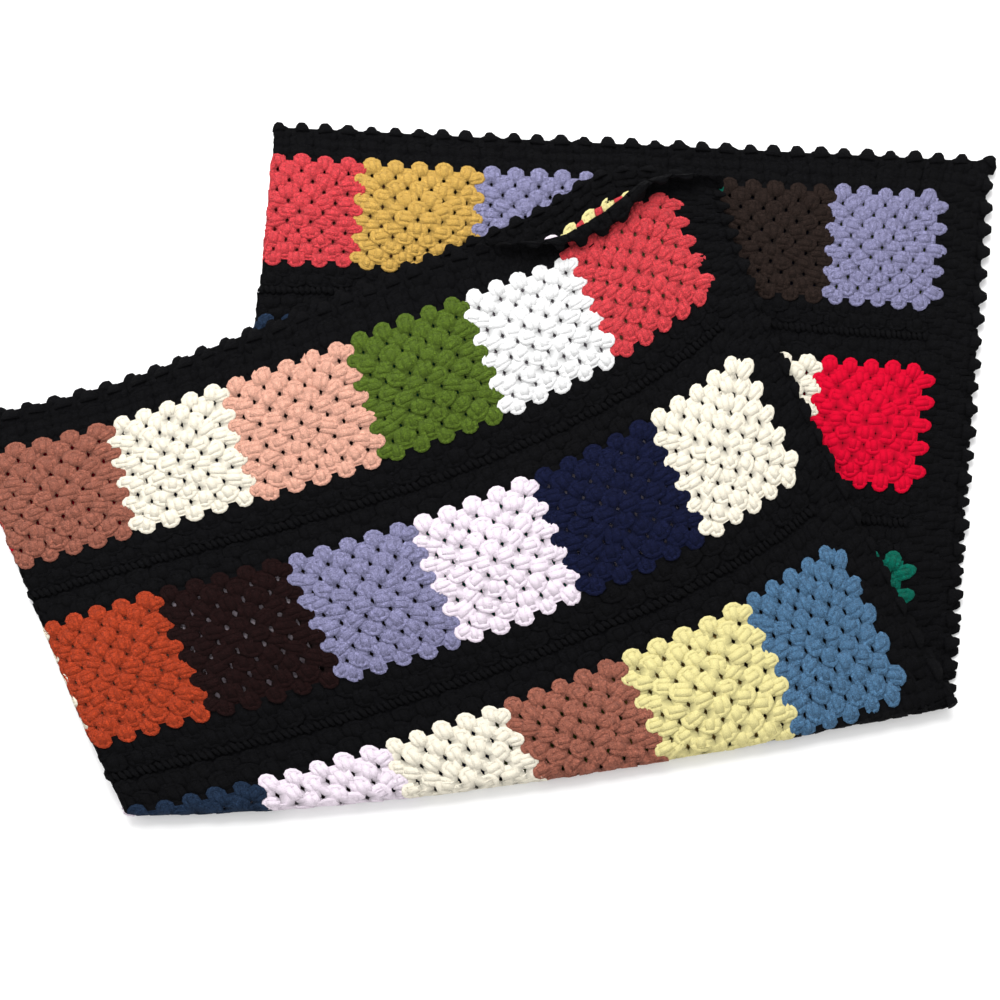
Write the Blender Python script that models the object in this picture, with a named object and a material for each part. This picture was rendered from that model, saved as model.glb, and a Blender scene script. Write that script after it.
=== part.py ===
"""A crocheted granny square blanket, folded in half and then folded over along a slanting line.

Metres, +Z up, origin at the middle of the footprint, on the surface that the blanket lies on.
The cloth is one closed solid. It is laid out flat first, with u across its width, v up its height and
"rise" through its thickness, and every point is then carried through the two folds:
  1. the left half goes under the right half, at a fold that runs up the cloth near u = 0;
  2. the lower part of both layers goes up over the upper part, at a slanting fold.
"""
import math

import bpy
import numpy as np

# The cloth laid out flat
SQUARE_WIDTH = 0.127          # one granny square, across
SQUARE_HEIGHT = 0.136         # one granny square, up
COLUMNS = 12
ROWS = 6
BAND_HEIGHT = 0.060           # black band between two rows of squares
SIDE_BORDER = 0.050           # black border at the two ends
TOP_BORDER = 0.042            # black border along the two long edges
THICKNESS = 0.004             # crocheted fabric of thick yarn
HALF_WIDTH = COLUMNS * SQUARE_WIDTH / 2 + SIDE_BORDER
HALF_HEIGHT = (ROWS * SQUARE_HEIGHT + (ROWS - 1) * BAND_HEIGHT) / 2 + TOP_BORDER

# The picots of the last round
PICOT_PITCH = 0.0252
PICOT_HEIGHT = 0.006
PICOT_FOOT = 0.36             # width of a picot's foot and tip, in parts of its pitch
PICOT_TIP = 0.14
RIM = 0.012                   # strip outside the regular mesh, picots included

# The two folds
LAYER_STEP = 0.006            # from the middle of one layer to the middle of the next
FIRST_RADIUS = LAYER_STEP / 2
SECOND_RADIUS = LAYER_STEP
FIRST_FOLD_LOW = 0.006        # u of the first fold on the lower part, and at the top edge
FIRST_FOLD_TOP = 0.030
SECOND_FOLD_LEFT = -0.155     # v of the second fold at the first fold, and at the free ends
SECOND_FOLD_RIGHT = 0.0
SECOND_SLANT = math.atan2(SECOND_FOLD_RIGHT - SECOND_FOLD_LEFT, HALF_WIDTH)

# Where the folded cloth lies, seen from above. Each row is one line across the cloth, from the first
# fold (place 1) to the free ends (place 4), with two places a third and two thirds of the way along.
PLAN_MIDDLE = (-0.01143, 0.05063)
SECOND_FOLD_LINE = {"x1": -0.364, "y1": -0.308, "x2": -0.088, "y2": -0.291,
                    "x3": 0.183, "y3": -0.252, "x4": 0.460, "y4": -0.202}
LOWER_PART = (                # back layers: halfway up, and the top edge
    {"x1": -0.278, "y1": 0.054, "x2": -0.018, "y2": 0.062, "x3": 0.241, "y3": 0.072, "x4": 0.503, "y4": 0.083},
    {"x1": -0.247, "y1": 0.421, "x2": 0.017, "y2": 0.408, "x3": 0.282, "y3": 0.395, "x4": 0.546, "y4": 0.382},
)
UPPER_PART = (                # folded-over layers: halfway, and the edge
    {"x1": -0.469, "y1": -0.113, "x2": -0.202, "y2": -0.064, "x3": 0.080, "y3": 0.006, "x4": 0.311, "y4": 0.140},
    {"x1": -0.555, "y1": 0.085, "x2": -0.275, "y2": 0.168, "x3": -0.022, "y3": 0.276, "x4": 0.245, "y4": 0.358},
)

# How far the hidden layers lie inside the ones that show, in parts of their length
LAYER_EASE = (
    {"part": "back", "side": "right", "along": 0.000, "up": 0.007},
    {"part": "back", "side": "left", "along": -0.012, "up": 0.000},
    {"part": "flap", "side": "right", "along": -0.006, "up": 0.032},
    {"part": "flap", "side": "left", "along": 0.000, "up": 0.036},
)

# The flap's edge near its free corner, at places along it from the first fold (0) to the corner (1):
# how far its upper and its lower layer are pulled out, and how wide a strip of the upper one has
# rolled back over itself, and how tightly
CORNER_EDGE = (
    {"place": 0.62, "upper_pull": 0.000, "lower_pull": 0.000, "strip": 0.000, "radius": 0.0140},
    {"place": 0.70, "upper_pull": -0.009, "lower_pull": 0.001, "strip": 0.025, "radius": 0.0100},
    {"place": 0.76, "upper_pull": -0.016, "lower_pull": 0.004, "strip": 0.030, "radius": 0.0070},
    {"place": 0.80, "upper_pull": -0.013, "lower_pull": 0.013, "strip": 0.029, "radius": 0.0058},
    {"place": 0.85, "upper_pull": 0.008, "lower_pull": 0.030, "strip": 0.035, "radius": 0.0055},
    {"place": 0.90, "upper_pull": 0.018, "lower_pull": 0.028, "strip": 0.024, "radius": 0.0068},
    {"place": 0.95, "upper_pull": 0.000, "lower_pull": 0.005, "strip": 0.022, "radius": 0.0070},
    {"place": 1.00, "upper_pull": -0.027, "lower_pull": -0.018, "strip": 0.012, "radius": 0.0075},
)
CORNER_SMOOTH = 0.018         # run along the edge over which these are smoothed
PULL_START = 0.70             # part of the flap's length from which it is pulled
ROLLED_REST = 0.0064          # height of the flopped strip's free edge above the layer under it

# Past the first fold the flap comes down to the surface
DROP = 2 * LAYER_STEP
DROP_START = 0.030
DROP_RUN = 0.120

# Soft ridges, each along a line from one place to another
RIDGES = (
    {"x1": -0.40, "y1": -0.295, "x2": 0.50, "y2": -0.180, "height": 0.0045, "width": 0.040},
    {"x1": -0.20, "y1": -0.170, "x2": 0.12, "y2": -0.030, "height": 0.0035, "width": 0.045},
    {"x1": -0.10, "y1": 0.080, "x2": 0.22, "y2": 0.230, "height": 0.0040, "width": 0.045},
    {"x1": 0.12, "y1": -0.130, "x2": 0.33, "y2": 0.040, "height": 0.0030, "width": 0.045},
    {"x1": 0.10, "y1": 0.330, "x2": 0.24, "y2": 0.320, "height": 0.0030, "width": 0.040},
)
RIDGE_LEVEL = 0.022           # height at which a ridge has its full size

# The mesh
BEND_STEPS = 6
SIDE_COLUMNS = 16
ROLL_COLUMNS = 17             # of the flap's side that is rolled
BACK_ROWS = 11
FLAP_ROWS = 8
FLAT_EDGE_STRIP = 0.040       # the last rows before an edge that isn't rolled
STRAIGHT_STEPS = 2            # rows of a rolled edge past its roll

YARN_COLOUR = (0.02, 0.02, 0.03, 1.0)
YARN_ROUGHNESS = 0.9


def soft_step(x):
    x = np.clip(x, 0.0, 1.0)
    return x * x * (3.0 - 2.0 * x)


def first_fold_u(v):
    """The first fold's place across the cloth, at height v."""
    up = np.clip((v - SECOND_FOLD_LEFT) / (HALF_HEIGHT - SECOND_FOLD_LEFT), 0.0, 1.0)
    return FIRST_FOLD_LOW + (FIRST_FOLD_TOP - FIRST_FOLD_LOW) * up


def second_fold_v(place):
    """The second fold's height on the cloth; place runs from 0 at the first fold to 1 at the free ends."""
    return SECOND_FOLD_LEFT + (SECOND_FOLD_RIGHT - SECOND_FOLD_LEFT) * place


def line_point(row, place):
    """A place on one line of the plan: a smooth curve through its four places."""
    x = y = 0.0
    for k in range(4):
        weight = 1.0
        for other in range(4):
            if other != k:
                weight = weight * (place * 3 - other) / (k - other)
        x = x + weight * row[f"x{k + 1}"]
        y = y + weight * row[f"y{k + 1}"]
    return np.stack([x, y], axis=-1)


def plan_point(rows, place, up):
    """A place between the second fold (up = 0) and the edge (up = 1)."""
    up = up[..., None]
    return (line_point(SECOND_FOLD_LINE, place) * (1 - up) * (1 - 2 * up)
            + line_point(rows[0], place) * 4 * up * (1 - up)
            + line_point(rows[1], place) * up * (2 * up - 1))


def ease(part, key, turn_sine):
    """A layer's ease, running smoothly from the left half to the right half round the first fold."""
    right, left = (next(row[key] for row in LAYER_EASE if row["part"] == part and row["side"] == side)
                   for side in ("right", "left"))
    return (right + left) / 2 + (right - left) / 2 * turn_sine


def corner_edge(place):
    """Upper pull, lower pull, width of the rolled strip and radius of its roll, at places along the edge."""
    at = [row["place"] for row in CORNER_EDGE]
    steps = (-CORNER_SMOOTH, 0.0, CORNER_SMOOTH)
    return [sum(np.interp(place + step, at, [row[key] for row in CORNER_EDGE]) for step in steps) / len(steps)
            for key in ("upper_pull", "lower_pull", "strip", "radius")]


def ridge_height(xy):
    """Height of the soft ridges at places in the plan."""
    height = 0.0
    for ridge in RIDGES:
        start = np.array([ridge["x1"], ridge["y1"]])
        run = np.array([ridge["x2"], ridge["y2"]]) - start
        along = np.clip(((xy - start) @ run) / (run @ run), 0.0, 1.0)
        away = np.linalg.norm(xy - start - along[..., None] * run, axis=-1)
        height = height + ridge["height"] * np.exp(-(away / ridge["width"]) ** 2)
    return height


def overhang_drop(xy):
    """How far the flap comes down, past the first fold of the layers under it."""
    up = np.linspace(0.0, 1.0, 21)
    fold = plan_point(LOWER_PART, np.zeros_like(up), up)
    outside = np.interp(xy[..., 1], fold[:, 1], fold[:, 0]) - xy[..., 0]
    return DROP * soft_step((outside - DROP_START) / DROP_RUN)


def fold_cloth(u, v, rise):
    """Carries flat places (u, v), a rise above the middle of the thickness, through both folds."""
    # first fold
    crease = first_fold_u(v)
    from_crease = u - crease
    turn = np.clip(from_crease / FIRST_RADIUS, -math.pi / 2, math.pi / 2)
    across = np.abs(from_crease - turn * FIRST_RADIUS) - (FIRST_RADIUS + rise) * np.cos(turn)
    half = HALF_WIDTH - np.sign(from_crease) * crease
    place = across / half
    level_middle = FIRST_RADIUS * np.sin(turn)
    level = (FIRST_RADIUS + rise) * np.sin(turn)

    # second fold
    past = (v - second_fold_v(place)) * math.cos(SECOND_SLANT)
    bend_radius = SECOND_RADIUS - level_middle
    bent = np.clip(past, -bend_radius * math.pi / 2, bend_radius * math.pi / 2)
    bend = bent / bend_radius
    place = place + bent * math.sin(SECOND_SLANT) / HALF_WIDTH
    fold_v = second_fold_v(place)
    beyond = v - bent * math.cos(SECOND_SLANT) - fold_v
    upper = past < 0
    upper_pull, lower_pull, strip, roll_radius = corner_edge(place)
    rolled = upper & (from_crease < 0) & (v + HALF_HEIGHT < strip)
    past_crest = np.where(rolled, strip - v - HALF_HEIGHT, 0.0)
    length = np.where(upper, HALF_HEIGHT + fold_v, HALF_HEIGHT - fold_v)
    up = np.abs(beyond + past_crest) / length
    side = np.sin(turn)
    up_ease = np.where(upper, ease("flap", "up", side), ease("back", "up", side))
    along_ease = np.where(upper, ease("flap", "along", side), ease("back", "along", side))
    place = place * (1 + along_ease * up)
    pull = np.where(upper, np.where(from_crease < 0, upper_pull, lower_pull), 0.0)
    up = up * (1 + up_ease) + pull / length * soft_step((up - PULL_START) / (1 - PULL_START))

    # rolled edge of the flap's upper layer
    roll = np.clip(past_crest / roll_radius, 0.0, math.pi)
    back = past_crest - roll * roll_radius
    lay = soft_step(back / np.maximum(strip - math.pi * roll_radius, 0.010))
    roll_top = 2 * roll_radius - (2 * roll_radius - ROLLED_REST) * lay
    roll_out = (roll_radius - rise) * np.sin(roll) - back
    roll_up = np.where(roll >= math.pi, roll_top - rise, roll_radius - (roll_radius - rise) * np.cos(roll))

    xy = np.where(upper[..., None], plan_point(UPPER_PART, place, up), plan_point(LOWER_PART, place, up))
    step = 0.01
    ahead = plan_point(UPPER_PART, place, up + step) - plan_point(UPPER_PART, place, up)
    ahead = ahead / np.linalg.norm(ahead, axis=-1, keepdims=True)
    xy = xy + np.where(rolled, roll_out, 0.0)[..., None] * ahead

    fold_run = line_point(SECOND_FOLD_LINE, place + step) - line_point(SECOND_FOLD_LINE, place)
    fold_run = fold_run / np.linalg.norm(fold_run, axis=-1, keepdims=True)
    outwards = np.stack([fold_run[..., 1], -fold_run[..., 0]], axis=-1)
    radius = SECOND_RADIUS - level
    xy = xy + (radius * np.cos(bend))[..., None] * outwards

    z = SECOND_RADIUS - radius * np.sin(bend) + FIRST_RADIUS + THICKNESS / 2
    z = z + np.where(rolled, roll_up - rise, 0.0)
    z = z - overhang_drop(xy) * np.clip(-bend / (math.pi / 2), 0.0, 1.0)
    z = z + ridge_height(xy) * np.maximum(z / RIDGE_LEVEL, 0.0) ** 1.5
    return np.stack([xy[..., 0] - PLAN_MIDDLE[0], xy[..., 1] - PLAN_MIDDLE[1], z], axis=-1)


def column_places():
    """The mesh's columns, from the left end (-1) over the first fold (0) to the right end (1)."""
    bend = FIRST_RADIUS * math.pi / 2 / HALF_WIDTH
    bend_places = np.linspace(-bend, bend, BEND_STEPS + 1)
    end = 1 - RIM / HALF_WIDTH
    right = np.linspace(bend, end, SIDE_COLUMNS + 1)
    start = CORNER_EDGE[0]["place"]
    left = np.concatenate([np.linspace(bend, start, round(SIDE_COLUMNS * start) + 1),
                           np.linspace(start, end, ROLL_COLUMNS + 1)[1:]])
    return np.concatenate([-left[:0:-1], bend_places, right[1:]])


def row_heights(column):
    """Heights v of one column's mesh points, from the bottom edge to the top edge."""
    place = abs(column)
    fold = second_fold_v(place)
    turn = np.clip(column * HALF_WIDTH / FIRST_RADIUS, -math.pi / 2, math.pi / 2)
    reach = (SECOND_RADIUS - FIRST_RADIUS * np.sin(turn)) * math.pi / 2 / math.cos(SECOND_SLANT)
    bottom = -HALF_HEIGHT + RIM
    strip, radius = corner_edge(place)[2:] if column < 0 else (0.0, 0.0)
    strip = max(strip, FLAT_EDGE_STRIP) - RIM
    straight = min(max(strip - math.pi * radius, strip / 4), strip / 2)
    edge = bottom + np.concatenate([np.linspace(strip, straight, BEND_STEPS + 1),
                                    np.linspace(straight, 0.0, STRAIGHT_STEPS + 1)[1:]])
    flap = np.linspace(fold - reach, edge[0], FLAP_ROWS + 1)
    bend = np.linspace(-reach, reach, BEND_STEPS + 1) + fold
    back = np.linspace(fold + reach, HALF_HEIGHT - RIM, BACK_ROWS + 1)
    return np.concatenate([edge[::-1], flap[-2::-1], bend[1:], back[1:]])


def flat_grid():
    """Flat places of the regular mesh: rows up the cloth by columns across it."""
    columns = column_places()
    v = np.stack([row_heights(column) for column in columns], axis=1)
    crease = first_fold_u(v)
    u = crease + columns * (HALF_WIDTH - np.sign(columns) * crease)
    inner = HALF_WIDTH - RIM
    u[:, 0], u[:, -1] = -inner, inner
    return u, v


def side_stations(lines, length):
    """Points along one side, in order: where each lies, how many of the regular mesh's lines are behind it,
    and whether a picot starts there. No picot sits on a bend of the cloth, where the lines are close."""
    count = round(length / PICOT_PITCH)
    pitch = length / count
    foot = PICOT_FOOT * PICOT_PITCH
    clear = foot / 8
    stations = []
    free = list(lines[:-1])
    for middle in ((k + 0.5) * pitch for k in range(count)):
        start, end = middle - foot / 2, middle + foot / 2
        inside = [line for line in lines if start - clear < line < end + clear]
        if len(inside) < 2:
            free = [line for line in free if line not in inside]
            stations.append((start, sum(line < start - clear for line in lines) - 1, True))
            stations.append((end, sum(line < end + clear for line in lines) - 1, False))
    stations += [(line, lines.index(line), False) for line in free]
    return sorted(stations)


def flat_mesh():
    """The cloth's face laid out flat: places, triangles, and the outline's points in order."""
    u, v = flat_grid()
    rows, cols = u.shape
    places = [tuple(place) for place in np.stack([u.ravel(), v.ravel()], axis=-1).tolist()]
    triangles = []
    for corner in (i * cols + j for i in range(rows - 1) for j in range(cols - 1)):
        triangles += [(corner, corner + 1, corner + cols + 1), (corner, corner + cols + 1, corner + cols)]

    # the regular mesh's edge, side by side, anticlockwise
    rings = (
        [j for j in range(cols)],
        [i * cols + cols - 1 for i in range(rows)],
        [(rows - 1) * cols + j for j in reversed(range(cols))],
        [i * cols for i in reversed(range(rows))],
    )
    corners = ((-1, -1), (1, -1), (1, 1), (-1, 1))
    size = np.array([HALF_WIDTH - PICOT_HEIGHT, HALF_HEIGHT - PICOT_HEIGHT])
    foot_line = []
    outline = []
    for side, ring in enumerate(rings):
        start = size * corners[side]
        end = size * corners[(side + 1) % 4]
        length = float(np.linalg.norm(end - start))
        along = (end - start) / length
        outwards = np.array([along[1], -along[0]])
        lines = [0.0] + [float((np.array(places[k]) - start) @ along) for k in ring[1:-1]] + [length]
        for run, cell, picot in side_stations(lines, length):
            foot = len(places)
            places.append(tuple(start + along * run))
            foot_line.append((foot, ring, cell))
            outline.append(foot)
            if picot:
                tip = start + along * run + outwards * PICOT_HEIGHT
                lean = (PICOT_FOOT - PICOT_TIP) / 2 * PICOT_PITCH
                places += [tuple(tip + along * lean), tuple(tip + along * (lean + PICOT_TIP * PICOT_PITCH))]
                outline += [foot + 1, foot + 2]
                triangles += [(foot, foot + 1, foot + 2), (foot, foot + 2, foot + 3)]

    for k, (point, ring, cell) in enumerate(foot_line):
        following, next_ring, next_cell = foot_line[(k + 1) % len(foot_line)]
        if next_ring is not ring:
            next_cell = len(ring) - 1
        triangles.append((ring[cell], point, following))
        for passed in range(cell, next_cell):
            triangles.append((ring[passed], following, ring[passed + 1]))
    return np.array(places), triangles, outline


def build_blanket():
    """The cloth's solid: its face, its back, and the wall between them round the edge."""
    places, face, outline = flat_mesh()
    count = len(places)
    layers = [fold_cloth(places[:, 0], places[:, 1], np.full(count, rise))
              for rise in (THICKNESS / 2, -THICKNESS / 2)]
    back = [(a + count, c + count, b + count) for a, b, c in face]
    wall = []
    for a, b in zip(outline, outline[1:] + outline[:1]):
        wall += [(a, a + count, b + count), (a, b + count, b)]
    mesh = bpy.data.meshes.new("blanket")
    mesh.from_pydata(np.concatenate(layers).tolist(), [], face + back + wall)
    blanket = bpy.data.objects.new("blanket", mesh)
    bpy.context.collection.objects.link(blanket)
    return blanket


def yarn_material():
    material = bpy.data.materials.new("black_yarn")
    material.use_nodes = True
    shader = material.node_tree.nodes["Principled BSDF"]
    shader.inputs["Base Color"].default_value = YARN_COLOUR
    shader.inputs["Roughness"].default_value = YARN_ROUGHNESS
    shader.inputs["Metallic"].default_value = 0.0
    return material


def clear_scene():
    for item in list(bpy.data.objects):
        bpy.data.objects.remove(item, do_unlink=True)


clear_scene()
blanket = build_blanket()
blanket.data.materials.append(yarn_material())
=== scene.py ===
import math

import bmesh
import bpy
import numpy as np
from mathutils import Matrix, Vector


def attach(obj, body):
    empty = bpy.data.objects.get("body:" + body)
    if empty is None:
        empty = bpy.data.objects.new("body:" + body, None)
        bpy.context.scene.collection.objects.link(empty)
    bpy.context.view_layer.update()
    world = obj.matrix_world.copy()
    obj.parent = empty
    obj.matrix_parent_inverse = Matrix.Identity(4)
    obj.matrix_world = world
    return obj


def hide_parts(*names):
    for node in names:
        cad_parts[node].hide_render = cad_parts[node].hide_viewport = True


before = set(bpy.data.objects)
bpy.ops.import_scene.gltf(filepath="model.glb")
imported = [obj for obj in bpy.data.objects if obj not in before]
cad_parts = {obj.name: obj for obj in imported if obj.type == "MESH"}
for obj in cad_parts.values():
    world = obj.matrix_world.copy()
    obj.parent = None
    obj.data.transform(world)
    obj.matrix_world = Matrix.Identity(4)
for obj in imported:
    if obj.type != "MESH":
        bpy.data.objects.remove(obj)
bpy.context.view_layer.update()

# The blanket laid out flat: u runs across it, v up it, rise through its thickness. Metres.
cloth = {
    "columns": 12,
    "rows": 6,
    "squareWidth": 0.127,
    "squareHeight": 0.120,
    "bandHeight": 0.076,
    "sideBorder": 0.050,
    "topBorder": 0.050,
    "picotHeight": 0.0068,
    "rounds": 5,
    "thickness": 0.004,
}
halfWidth = cloth["columns"] * cloth["squareWidth"] / 2 + cloth["sideBorder"]
patched = cloth["rows"] * cloth["squareHeight"] + (cloth["rows"] - 1) * cloth["bandHeight"]
halfHeight = patched / 2 + cloth["topBorder"]
squaresU = halfWidth - cloth["sideBorder"]     # half the width and half the height inside the border
squaresV = halfHeight - cloth["topBorder"]

# The two folds. Plan lines have four places each, from the first fold to the free ends.
folds = {
    "layerStep": 0.006,
    "firstLow": 0.006,
    "firstTop": 0.030,
    "secondLeft": -0.155,
    "secondRight": 0.0,
    "planMiddle": (-0.01143, 0.05063),
    "foldLine": ((-0.364, -0.308), (-0.088, -0.291), (0.183, -0.252), (0.460, -0.202)),
    "backMiddle": ((-0.278, 0.054), (-0.018, 0.062), (0.241, 0.072), (0.503, 0.083)),
    "backEdge": ((-0.247, 0.421), (0.017, 0.408), (0.282, 0.395), (0.546, 0.382)),
    "flapMiddle": ((-0.469, -0.113), (-0.202, -0.064), (0.080, 0.006), (0.311, 0.140)),
    "flapEdge": ((-0.555, 0.085), (-0.275, 0.168), (-0.022, 0.276), (0.245, 0.358)),
    # how far hidden layers lie inside the ones that show: along and up, in parts of their length
    "ease": {"backRight": (0.0, 0.007), "backLeft": (-0.012, 0.0),
             "flapRight": (-0.006, 0.032), "flapLeft": (0.0, 0.036)},
    # places along the flap's edge near its free corner: how far its upper layer and its lower one are
    # pulled out there, and width and radius of the upper layer's edge that has rolled back over itself
    "edge": ((0.62, 0.000, 0.000, 0.000, 0.0140), (0.70, -0.009, 0.001, 0.025, 0.0100),
             (0.76, -0.016, 0.004, 0.030, 0.0070), (0.80, -0.013, 0.013, 0.029, 0.0058),
             (0.85, 0.008, 0.030, 0.035, 0.0055), (0.90, 0.018, 0.028, 0.024, 0.0068),
             (0.95, 0.000, 0.005, 0.022, 0.0070), (1.0, -0.027, -0.018, 0.012, 0.0075)),
    "edgeSmooth": 0.018,
    "pullStart": 0.70,
    "rolledRest": 0.0064,
    "leastLay": 0.010,       # shortest way on which the rolled edge comes to rest
    "dropStart": 0.030,
    "dropRun": 0.120,
    "foldSamples": 21,
    "slopeStep": 0.01,       # between the two places whose difference gives a direction
    "lowest": 0.0004,        # nothing lies closer to the surface than this
    # soft ridges: from x, y to x, y, height, width
    "ridges": ((-0.40, -0.295, 0.50, -0.180, 0.0045, 0.040),
               (-0.20, -0.170, 0.12, -0.030, 0.0035, 0.045),
               (-0.10, 0.080, 0.22, 0.230, 0.0040, 0.045),
               (0.12, -0.130, 0.33, 0.040, 0.0030, 0.045),
               (0.10, 0.330, 0.24, 0.320, 0.0030, 0.040)),
    "ridgeLevel": 0.022,
    "ridgeGrowth": 1.5,      # ridges grow with the height above the surface, and are whole at that level
    "seenMargin": 0.035,     # room round the parts seen from above
    "cornerStart": 0.5,      # and where the free corner starts, across the flat blanket
}
firstRadius = folds["layerStep"] / 2
secondRadius = folds["layerStep"]
secondSlant = math.atan2(folds["secondRight"] - folds["secondLeft"], halfWidth)


def softStep(x):
    x = np.clip(x, 0.0, 1.0)
    return x * x * (3.0 - 2.0 * x)


def firstFoldU(v):
    up = np.clip((v - folds["secondLeft"]) / (halfHeight - folds["secondLeft"]), 0.0, 1.0)
    return folds["firstLow"] + (folds["firstTop"] - folds["firstLow"]) * up


def secondFoldV(place):
    return folds["secondLeft"] + (folds["secondRight"] - folds["secondLeft"]) * place


def linePoint(line, place):
    # a smooth curve through a plan line's four places
    point = 0.0
    for k in range(4):
        weight = 1.0
        for other in range(4):
            if other != k:
                weight = weight * (place * 3 - other) / (k - other)
        point = point + weight[..., None] * np.array(line[k])
    return point


def unit(direction):
    return direction / np.linalg.norm(direction, axis=-1, keepdims=True)


def planPoint(middle, edge, place, up):
    up = up[..., None]
    return (linePoint(folds["foldLine"], place) * (1 - up) * (1 - 2 * up)
            + linePoint(middle, place) * 4 * up * (1 - up)
            + linePoint(edge, place) * up * (2 * up - 1))


def easeOf(part, item, side):
    right, left = (folds["ease"][part + name][item] for name in ("Right", "Left"))
    return (right + left) / 2 + (right - left) / 2 * side


def cornerEdge(place):
    # upper pull, lower pull, strip and radius, smoothed along the edge
    at, *columns = zip(*folds["edge"])
    steps = (-folds["edgeSmooth"], 0.0, folds["edgeSmooth"])
    return [sum(np.interp(place + step, at, column) for step in steps) / 3 for column in columns]


def ridgeHeight(xy):
    height = 0.0
    for x1, y1, x2, y2, top, width in folds["ridges"]:
        start, run = np.array([x1, y1]), np.array([x2 - x1, y2 - y1])
        along = np.clip(((xy - start) @ run) / (run @ run), 0.0, 1.0)
        away = np.linalg.norm(xy - start - along[..., None] * run, axis=-1)
        height = height + top * np.exp(-(away / width) ** 2)
    return height


def overhangDrop(xy):
    # past the first fold the flap comes down to the surface
    up = np.linspace(0.0, 1.0, folds["foldSamples"])
    fold = planPoint(folds["backMiddle"], folds["backEdge"], np.zeros_like(up), up)
    outside = np.interp(xy[..., 1], fold[:, 1], fold[:, 0]) - xy[..., 0]
    return 2 * folds["layerStep"] * softStep((outside - folds["dropStart"]) / folds["dropRun"])


def foldCloth(u, v, rise):
    # carries flat places through both folds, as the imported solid's own cloth is folded
    crease = firstFoldU(v)
    fromCrease = u - crease
    turn = np.clip(fromCrease / firstRadius, -math.pi / 2, math.pi / 2)
    across = np.abs(fromCrease - turn * firstRadius) - (firstRadius + rise) * np.cos(turn)
    place = across / (halfWidth - np.sign(fromCrease) * crease)
    side = np.sin(turn)
    level = (firstRadius + rise) * side

    past = (v - secondFoldV(place)) * math.cos(secondSlant)
    bendRadius = secondRadius - firstRadius * side
    bent = np.clip(past, -bendRadius * math.pi / 2, bendRadius * math.pi / 2)
    bend = bent / bendRadius
    place = place + bent * math.sin(secondSlant) / halfWidth
    foldV = secondFoldV(place)
    beyond = v - bent * math.cos(secondSlant) - foldV
    upper = past < 0
    upperPull, lowerPull, strip, rollRadius = cornerEdge(place)
    rolled = upper & (fromCrease < 0) & (v + halfHeight < strip)
    pastCrest = np.where(rolled, strip - v - halfHeight, 0.0)
    length = np.where(upper, halfHeight + foldV, halfHeight - foldV)
    up = np.abs(beyond + pastCrest) / length
    alongEase, upEase = (np.where(upper, easeOf("flap", item, side), easeOf("back", item, side))
                         for item in (0, 1))
    place = place * (1 + alongEase * up)
    pull = np.where(upper, np.where(fromCrease < 0, upperPull, lowerPull), 0.0)
    up = up * (1 + upEase) + pull / length * softStep((up - folds["pullStart"]) / (1 - folds["pullStart"]))

    roll = np.clip(pastCrest / rollRadius, 0.0, math.pi)
    back = pastCrest - roll * rollRadius
    lay = softStep(back / np.maximum(strip - math.pi * rollRadius, folds["leastLay"]))
    rollTop = 2 * rollRadius - (2 * rollRadius - folds["rolledRest"]) * lay
    rollOut = (rollRadius - rise) * np.sin(roll) - back
    rollUp = np.where(roll >= math.pi, rollTop - rise, rollRadius - (rollRadius - rise) * np.cos(roll))

    step, flap = folds["slopeStep"], (folds["flapMiddle"], folds["flapEdge"])
    onFlap = planPoint(*flap, place, up)
    ahead = unit(planPoint(*flap, place, up + step) - onFlap)
    xy = np.where(upper[..., None], onFlap, planPoint(folds["backMiddle"], folds["backEdge"], place, up))
    xy = xy + np.where(rolled, rollOut, 0.0)[..., None] * ahead

    foldRun = unit(linePoint(folds["foldLine"], place + step) - linePoint(folds["foldLine"], place))
    outwards = np.stack([foldRun[..., 1], -foldRun[..., 0]], axis=-1)
    radius = secondRadius - level
    xy = xy + (radius * np.cos(bend))[..., None] * outwards

    z = secondRadius - radius * np.sin(bend) + firstRadius + cloth["thickness"] / 2
    z = z + np.where(rolled, rollUp - rise, 0.0)
    z = z - overhangDrop(xy) * np.clip(-bend / (math.pi / 2), 0.0, 1.0)
    z = z + ridgeHeight(xy) * np.maximum(z / folds["ridgeLevel"], 0.0) ** folds["ridgeGrowth"]
    z = np.maximum(z, folds["lowest"])
    middle = folds["planMiddle"]
    return np.stack([xy[..., 0] - middle[0], xy[..., 1] - middle[1], z], axis=-1)


def freeCorner(u, v):
    # the flap's lower layer, whose other face shows beside the rolled edge
    return (u > folds["cornerStart"]) & (v < cloth["topBorder"] + folds["seenMargin"] - halfHeight)


def shownSide(u, v):
    # 1 where the cloth's own face is up, -1 where its other face is
    return -1 if freeCorner(u, v) else 1


def shows(u, v):
    # the parts of the cloth that are seen from above, with some room round the folds
    crease = firstFoldU(v)
    fold = secondFoldV(np.abs(u - crease) / halfWidth)
    margin = folds["seenMargin"]
    flap = (u < crease + margin) & (v < fold + margin)
    back = (u > crease - margin) & (v > fold - margin)
    return flap | back | freeCorner(u, v)


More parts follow.
